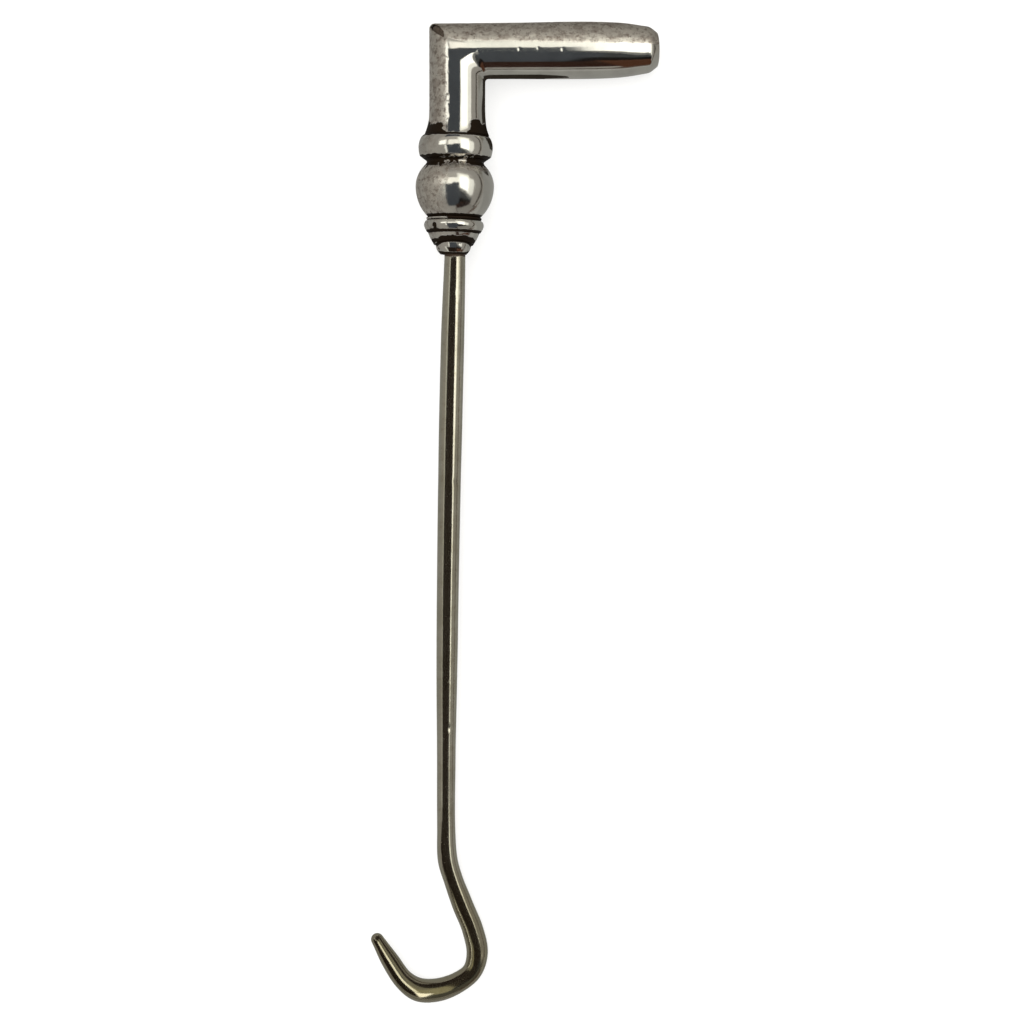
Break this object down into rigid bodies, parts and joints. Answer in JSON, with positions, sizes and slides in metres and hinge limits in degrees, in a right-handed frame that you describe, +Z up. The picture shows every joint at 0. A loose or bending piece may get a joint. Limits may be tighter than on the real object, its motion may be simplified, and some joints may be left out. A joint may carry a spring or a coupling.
{
  "type": "button hook",
  "caption": "Small button hook with a round steel shank and a silver grip shaped like a whip handle, with a knop and collars.",
  "frame": {"origin": "on the table top, under the middle of the object's footprint, as it lies flat on its side", "axes": "+Z is up, +Y runs from the hook along the shank to the grip, and +X is the way the arm of the grip points"},
  "size_m": [0.0284, 0.0968, 0.0077],
  "materials": {
    "silver": "polished silver, worn, with fine scratches, pits and dark tarnish in the recesses",
    "steel": "smooth old polished steel with a faint brown cast",
    "pitch": "hard brown setting pitch, matte and crumbly"
  },
  "bodies": {
    "root": {"arm_tube": "silver", "arm_end_cap": "silver", "neck_tube": "silver", "upper_collar": "silver", "knop_upper_half": "silver", "knop_lower_half": "silver", "lower_collar": "silver", "ferrule": "silver", "shank_sleeve": "silver", "pitch_filling": "pitch", "steel_hook": "steel"}
  },
  "joints": []
}
